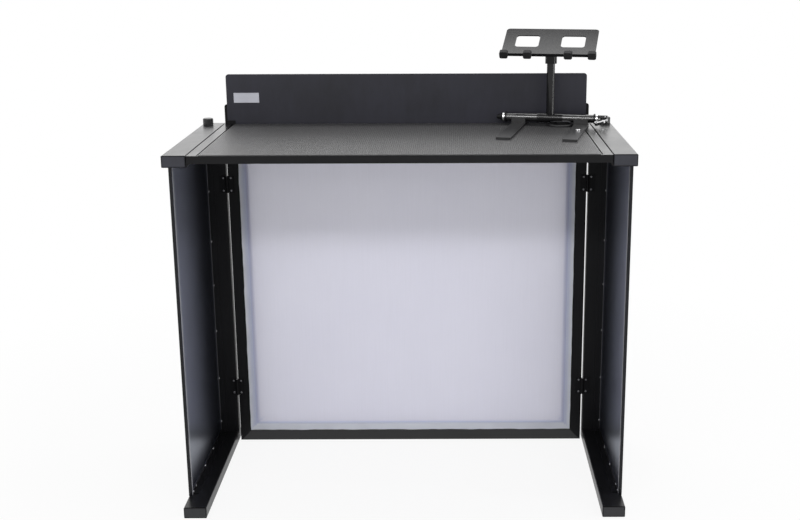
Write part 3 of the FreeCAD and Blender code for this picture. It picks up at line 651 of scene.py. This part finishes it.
def hem_stitches():
    """A row of stitches just outside the hem's inner step, round the whole cloth."""
    mesh = bmesh.new()
    side_inset, end_inset = SIDE_HEM * STITCH_ROW_SHARE, END_HEM * STITCH_ROW_SHARE
    low_x, high_x = SCRIM_LOW.x + side_inset, SCRIM_HIGH.x - side_inset
    low_z, high_z = SCRIM_LOW.z + end_inset, SCRIM_HIGH.z - end_inset
    corners = ((low_x, low_z), (high_x, low_z), (high_x, high_z), (low_x, high_z))
    for (x0, z0), (x1, z1) in zip(corners, corners[1:] + corners[:1]):
        count = int(math.hypot(x1 - x0, z1 - z0) / STITCH_PITCH)
        for i in range(count):
            ends = []
            for share in (i / count, (i + STITCH_SHARE) / count):
                spot, _, _ = cloth_point(x0 + (x1 - x0) * share, z0 + (z1 - z0) * share)
                ends.append(spot)
            stitch(mesh, *ends)
    return mesh


# The thread takes the hem's painted-light white
thread = coated("hem_thread", HEM_PAINTED_LIGHT_WHITE, rough=0.7, grain=2500.0, depth=0.1 * MM, specular=0.2,
                vary=0.06)
stitches = piece("scrim_stitches", hem_stitches(), "front_frame", thread)


# Screws
SCREW_SIDES = 24
SCREW_SPIN = 0.7
SCREW_SMOOTH = math.radians(35)
HEAD_PROFILE_SHARES = ((1.0, 0.0), (1.0, 0.3), (0.88, 0.72), (0.66, 1.0))
RECESS_ARM_SHARE = 0.5
RECESS_HALF_SHARE = 0.11
RECESS_TAPER_SHARE = 0.8
RECESS_FLOOR_SHARE = 0.35


def screw_head(mesh, centre, outward, radius, rise, spin):
    """A cross-recess screw head that sits on a face and points outward."""
    out = Vector(outward)
    side = Vector((0, 0, 1)) if abs(out.z) < 0.5 else Vector((1, 0, 0))
    across = out.cross(side).normalized()
    side = across.cross(out).normalized()

    def spot(angle, reach, height):
        flat = side * (math.cos(angle) * reach) + across * (math.sin(angle) * reach)
        return mesh.verts.new(Vector(centre) + flat + out * height)

    turns = [2 * math.pi * i / SCREW_SIDES for i in range(SCREW_SIDES)]
    rings = []
    for reach, high in HEAD_PROFILE_SHARES:
        rings.append([spot(t, radius * reach, rise * high) for t in turns])
    for lower, upper in zip(rings, rings[1:]):
        for i in range(SCREW_SIDES):
            j = (i + 1) % SCREW_SIDES
            mesh.faces.new((lower[i], lower[j], upper[j], upper[i]))
    mesh.faces.new(rings[0][::-1])
    arm, half = radius * RECESS_ARM_SHARE, radius * RECESS_HALF_SHARE
    corners = []
    for quarter in range(4):
        turn_by = spin + quarter * math.pi / 2
        for a, b in ((arm, -half), (arm, half), (half, half)):
            corners.append((math.atan2(b, a) + turn_by, math.hypot(a, b)))
    lip = [spot(angle, reach, rise) for angle, reach in corners]
    floor_height = rise * RECESS_FLOOR_SHARE
    floor = [spot(angle, reach * RECESS_TAPER_SHARE, floor_height) for angle, reach in corners]
    edges = []
    for loop in (rings[-1], lip):
        for i, vertex in enumerate(loop):
            other = loop[(i + 1) % len(loop)]
            edges.append(mesh.edges.get((vertex, other)) or mesh.edges.new((vertex, other)))
    bmesh.ops.triangle_fill(mesh, edges=edges, use_beauty=True, normal=out)
    for i in range(len(lip)):
        j = (i + 1) % len(lip)
        mesh.faces.new((lip[i], lip[j], floor[j], floor[i]))
    mesh.faces.new(floor)


def screws(name, body, spots, radius, rise, look):
    """Screw heads of one kind on one body, each turned a little differently."""
    mesh = bmesh.new()
    for i, (centre, outward) in enumerate(spots):
        screw_head(mesh, centre, outward, radius, rise, SCREW_SPIN * i)
    return piece(name, mesh, body, look, SCREW_SMOOTH)


HINGE_SCREW_SIDE = 10.5 * MM
HINGE_SCREW_RISE_Z = 18.0 * MM
HINGE_SCREW_RADIUS = 3.0 * MM
HINGE_SCREW_HEAD = 0.7 * MM
ANGLE_SCREW_RADIUS = 3.2 * MM
ANGLE_SCREW_HEAD = 1.6 * MM
FOOT_SCREW_Z = 34.7 * MM
FLANGE_FACE_X = 556.5 * MM
POST_SCREW_Y = 230.0 * MM
POST_SCREW_HEIGHTS_MM = (752.0, 608.0, 479.0, 342.0, 197.0, 63.0)
FOOT_SCREW_PLACES_MM = (95.0, -19.0, -145.0, -180.0)

hinge_screw_look = bright_metal("dull_zinc_screws", ZINC, 0.35)
angle_screw_look = bright_metal("plated_screws", PLATED, 0.3)
TOWARDS_VIEW = (0, -1, 0)
LEAF_FACE_Y = 233.5 * MM
HINGE_HEIGHTS = (772.0 * MM, 169.0 * MM)
for sign, name in SIDES:
    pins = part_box(name + "_hinge_pins")
    pin_x = (pins[0].x + pins[1].x) / 2
    for body, toward in (("front_frame", -sign), (name + "_wing", sign)):
        spots = []
        for height in HINGE_HEIGHTS:
            for rise in (-HINGE_SCREW_RISE_Z, HINGE_SCREW_RISE_Z):
                spots.append(((pin_x + toward * HINGE_SCREW_SIDE, LEAF_FACE_Y, height + rise), TOWARDS_VIEW))
        label = name + ("_frame" if body == "front_frame" else "_wing") + "_hinge_screws"
        screws(label, body, spots, HINGE_SCREW_RADIUS, HINGE_SCREW_HEAD, hinge_screw_look)
    inward = (-sign, 0, 0)
    spots = [((sign * FLANGE_FACE_X, POST_SCREW_Y, z * MM), inward) for z in POST_SCREW_HEIGHTS_MM]
    spots += [((sign * FLANGE_FACE_X, y * MM, FOOT_SCREW_Z), inward) for y in FOOT_SCREW_PLACES_MM]
    label, wing = name + "_angle_screws", name + "_wing"
    screws(label, wing, spots, ANGLE_SCREW_RADIUS, ANGLE_SCREW_HEAD, angle_screw_look)

# Bare cut edges of the angles
EDGE_RISE = 0.5 * MM
EDGE_STEPS = 6
EDGE_TAPER_SHARE = 0.004
EDGE_END_SHARE = 0.3
EDGE_SMOOTH = math.radians(50)
EDGE_GREY = (0.11, 0.11, 0.12)
edge_look = bright_metal("bare_cut_edge", EDGE_GREY, 0.4)


def edge_bead(mesh, start, end, across, outward):
    """A half-round bead along a cut edge, rising outward from its face, with tapered ends."""
    a, b = Vector(start), Vector(end)
    side, out = Vector(across), Vector(outward) * EDGE_RISE
    half_turns = [math.pi * i / EDGE_STEPS for i in range(EDGE_STEPS + 1)]
    near, far = a.lerp(b, EDGE_TAPER_SHARE), b.lerp(a, EDGE_TAPER_SHARE)
    rows = []
    for middle, high in ((a, EDGE_END_SHARE), (near, 1.0), (far, 1.0), (b, EDGE_END_SHARE)):
        spots = [middle + side * math.cos(t) + out * (math.sin(t) * high) for t in half_turns]
        rows.append([mesh.verts.new(spot) for spot in spots])
    for first, second in zip(rows, rows[1:]):
        for i in range(EDGE_STEPS):
            mesh.faces.new((first[i], first[i + 1], second[i + 1], second[i]))
        mesh.faces.new((first[-1], first[0], second[0], second[-1]))
    mesh.faces.new(rows[0][::-1])
    mesh.faces.new(rows[-1])


for sign, name in SIDES:
    mesh = bmesh.new()
    low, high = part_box(name + "_post_angle")
    outer_x = low.x if sign < 0 else high.x
    middle_x = (outer_x + sign * FLANGE_FACE_X) / 2
    half_wall = ((outer_x - sign * FLANGE_FACE_X) / 2, 0, 0)
    edge_bead(mesh, (middle_x, low.y, low.z), (middle_x, low.y, high.z), half_wall, TOWARDS_VIEW)
    low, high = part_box(name + "_foot_angle")
    edge_bead(mesh, (middle_x, low.y, high.z), (middle_x, high.y, high.z), half_wall, (0, 0, 1))
    piece(name + "_angle_edges", mesh, name + "_wing", edge_look, EDGE_SMOOTH)

# Pale soft lips along the inner edges of the panel trims: their pale grey is a painted highlight on the
# trims' edges
LIP_HALF = 4.5 * MM
# Painted highlight: a pale grey on the black trims' inner edges
LIP_HIGHLIGHT_GREY = (0.33, 0.33, 0.35)
lip_highlight_look = coated("trim_lip_painted_highlight", LIP_HIGHLIGHT_GREY, rough=0.45, grain=1600.0, depth=0.05 * MM, specular=0.4,
                  vary=0.1)
for sign, name in SIDES:
    mesh = bmesh.new()
    low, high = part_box(name + "_panel_trim")
    lip_x = high.x if sign < 0 else low.x
    lip_y = high.y - LIP_HALF
    edge_bead(mesh, (lip_x, lip_y, low.z), (lip_x, lip_y, high.z), (0, LIP_HALF, 0), (-sign, 0, 0))
    piece(name + "_trim_lip", mesh, name + "_wing", lip_highlight_look, EDGE_SMOOTH)

# Bare plate on the guard
PLATE_LOW = (-477.0 * MM, 998.0 * MM)
PLATE_HIGH = (-407.0 * MM, 1025.0 * MM)
PLATE_CORNER = 1.6 * MM
PLATE_RISE = 1.0 * MM
PLATE_RIM = 1.5 * MM
PLATE_DISH = 0.25 * MM
PLATE_EDGE = 0.3 * MM
PLATE_SMOOTH = math.radians(30)
CORNER_STEPS = 6


def rounded_loop(mesh, low, high, inset, corner, depth):
    """A ring of vertices round a rounded rectangle that faces the view."""
    made = []
    x0, z0 = low[0] + inset, low[1] + inset
    x1, z1 = high[0] - inset, high[1] - inset
    reach = max(corner - inset, PLATE_EDGE)
    west, east, south, north = x0 + reach, x1 - reach, z0 + reach, z1 - reach
    for quarter, (x, z) in enumerate(((east, north), (west, north), (west, south), (east, south))):
        for i in range(CORNER_STEPS + 1):
            angle = (quarter + i / CORNER_STEPS) * math.pi / 2
            made.append(mesh.verts.new((x + reach * math.cos(angle), depth, z + reach * math.sin(angle))))
    return made


def bare_plate(face):
    """A thin plate with a softened edge and a slightly sunk middle."""
    mesh = bmesh.new()
    top = face - PLATE_RISE
    steps = (
        (0, face),
        (0, top + PLATE_EDGE),
        (PLATE_EDGE, top),
        (PLATE_RIM, top),
        (PLATE_RIM + PLATE_EDGE, top + PLATE_DISH),
    )
    loops = [rounded_loop(mesh, PLATE_LOW, PLATE_HIGH, inset, PLATE_CORNER, depth) for inset, depth in steps]
    for lower, upper in zip(loops, loops[1:]):
        for i in range(len(lower)):
            j = (i + 1) % len(lower)
            mesh.faces.new((lower[i], lower[j], upper[j], upper[i]))
    mesh.faces.new(loops[0])
    mesh.faces.new(loops[-1])
    return mesh


PLATE_PALE = (0.56, 0.57, 0.63)
plate_look = coated("bare_pale_plate", PLATE_PALE, rough=0.35, grain=1800.0, depth=0.03 * MM,
                    specular=0.5, vary=0.05)
plate_mesh = bare_plate(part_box("guard_panel")[0].y)
piece("guard_plate", plate_mesh, "guard", plate_look, PLATE_SMOOTH)

# Weld beads at the frame's mitres
BEAD_HALF = 1.3 * MM
BEAD_RISE = 0.3 * MM
BEAD_STEP = 2.2 * MM
FRAME_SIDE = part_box("frame_top_rail")[1].x
FRAME_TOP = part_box("frame_top_rail")[1].z
BEAD_INSET = 2.5 * MM
BEAD_LENGTH = 30.0 * MM
BEAD_PROFILE_SHARES = ((-1.0, 0.0), (-0.55, 0.75), (0.0, 1.0), (0.55, 0.75), (1.0, 0.0))
BEAD_SWELL_SHARE = 0.15
BEAD_SWELL_RATE = 2.1
BEAD_END_SHARE = 0.4
BEAD_STEP_SHARE = 0.3
BEAD_SMOOTH = math.radians(60)


def weld_bead(mesh, corner, inward, face, length):
    """A low ground bead that follows one mitre from near the corner inwards."""
    count = int(length / BEAD_STEP)
    along = Vector((inward[0], 0, inward[1])).normalized()
    across = Vector((along.z, 0, -along.x))
    start = Vector((corner[0], face, corner[1])) + along * (BEAD_INSET * math.sqrt(2))
    rows = []
    for i in range(count + 1):
        middle = start + along * (i * BEAD_STEP)
        swell = 1.0 - BEAD_SWELL_SHARE + BEAD_SWELL_SHARE * math.sin(BEAD_SWELL_RATE * i)
        fade = min(1.0, BEAD_END_SHARE + BEAD_STEP_SHARE * min(i, count - i))
        row = []
        for side, high in BEAD_PROFILE_SHARES:
            lift = Vector((0, -BEAD_RISE * high * swell * fade, 0))
            row.append(mesh.verts.new(middle + across * (side * BEAD_HALF * swell) + lift))
        rows.append(row)
    for first, second in zip(rows, rows[1:]):
        for i in range(len(BEAD_PROFILE_SHARES) - 1):
            mesh.faces.new((first[i], first[i + 1], second[i + 1], second[i]))
        mesh.faces.new((first[-1], first[0], second[0], second[-1]))
    mesh.faces.new(rows[0])
    mesh.faces.new(rows[-1])


mesh = bmesh.new()
near_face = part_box("frame_top_rail")[0].y
for x in (-1, 1):
    for top in (0, 1):
        corner = (x * FRAME_SIDE, FRAME_TOP * top)
        inward = (-x, 1 - 2 * top)
        weld_bead(mesh, corner, inward, near_face, BEAD_LENGTH)
piece("frame_weld_beads", mesh, "front_frame", LOOKS["black_tube"], BEAD_SMOOTH)


# Floor, background and light
FLOOR_HALF = 12.0
FLOOR_PALE = (0.86, 0.86, 0.86)
FLOOR_GLOW_SHARE = 0.9
SHADOW_REACH = 1.0
AROUND = 0.54
WHITE = (1.0, 1.0, 1.0)
BOOTH_MIDDLE = (0, 0, 0.7)

# Each lamp's name, place, width and height in metres, and power in watts
LAMPS = (
    ("key_box", (-0.7, -2.8, 2.5), (1.8, 0.3), 34.0),
    ("fill_box", (1.95, -2.6, 2.55), (0.9, 0.8), 12.0),
    ("top_box", (0.2, 1.0, 3.3), (3.0, 0.6), 26.0),
    ("side_strip", (2.6, -0.6, 0.9), (0.25, 1.6), 16.0),
    ("back_box", (0.0, 4.5, 2.0), (7.0, 3.0), 70.0),
)


def seen_share(tree):
    """A socket that is 1 for rays from the camera, from gloss and through glass, else 0."""
    path = add(tree, "LightPath")
    seen = path.outputs["Is Camera Ray"]
    for name in ("Is Glossy Ray", "Is Transmission Ray"):
        highest = add(tree, "Math", {"operation": "MAXIMUM"})
        tree.links.new(seen, highest.inputs[0])
        tree.links.new(path.outputs[name], highest.inputs[1])
        seen = highest.outputs["Value"]
    return seen


def studio_floor():
    """A plain pale floor that keeps a soft shadow."""
    mesh = bmesh.new()
    corners = ((-1, -1), (1, -1), (1, 1), (-1, 1))
    mesh.faces.new([mesh.verts.new((x * FLOOR_HALF, y * FLOOR_HALF, 0)) for x, y in corners])
    data = bpy.data.meshes.new("studio_floor")
    mesh.to_mesh(data)
    mesh.free()
    floor = bpy.data.objects.new("studio_floor", data)
    scene.collection.objects.link(floor)
    material = bpy.data.materials.new("pale_floor")
    material.use_nodes = True
    tree = material.node_tree
    tree.nodes.clear()
    output = add(tree, "OutputMaterial")
    matt = add(tree, "BsdfDiffuse", values={"Color": rgba(FLOOR_PALE)})
    glow = add(tree, "Emission", values={"Strength": 1.0})
    mixed = add(tree, "MixShader")
    share = add(tree, "Math", {"operation": "MULTIPLY"})
    length = add(tree, "VectorMath", {"operation": "LENGTH"})
    link(tree, place(tree), "Vector", length, "Vector")
    glow_share = spread(tree, length, "Value", SHADOW_REACH, 2 * SHADOW_REACH, FLOOR_GLOW_SHARE, 1.0)
    tree.links.new(seen_share(tree), share.inputs[0])
    tree.links.new(glow_share.outputs["Result"], share.inputs[1])
    tree.links.new(share.outputs["Value"], mixed.inputs["Fac"])
    tree.links.new(matt.outputs["BSDF"], mixed.inputs[1])
    tree.links.new(glow.outputs["Emission"], mixed.inputs[2])
    link(tree, mixed, "Shader", output, "Surface")
    data.materials.append(material)


def studio_world():
    """Even soft light from all round, and white where it is seen."""
    world = bpy.data.worlds.new("studio")
    world.use_nodes = True
    tree = world.node_tree
    tree.nodes.clear()
    output = add(tree, "OutputWorld")
    light = add(tree, "Background", values={"Color": rgba(WHITE), "Strength": AROUND})
    white = add(tree, "Background", values={"Color": rgba(WHITE), "Strength": 1.0})
    mixed = add(tree, "MixShader")
    tree.links.new(seen_share(tree), mixed.inputs["Fac"])
    tree.links.new(light.outputs["Background"], mixed.inputs[1])
    tree.links.new(white.outputs["Background"], mixed.inputs[2])
    link(tree, mixed, "Shader", output, "Surface")
    scene.world = world


def soft_box(name, where, aim, size, power):
    """A large soft lamp that faces a point."""
    lamp = bpy.data.lights.new(name, "AREA")
    lamp.shape = "RECTANGLE"
    lamp.size, lamp.size_y = size
    lamp.energy = power
    made = bpy.data.objects.new(name, lamp)
    made.location = where
    made.rotation_euler = (Vector(aim) - Vector(where)).to_track_quat("-Z", "Y").to_euler()
    scene.collection.objects.link(made)


studio_floor()
studio_world()
for name, where, size, power in LAMPS:
    soft_box(name, where, BOOTH_MIDDLE, size, power)
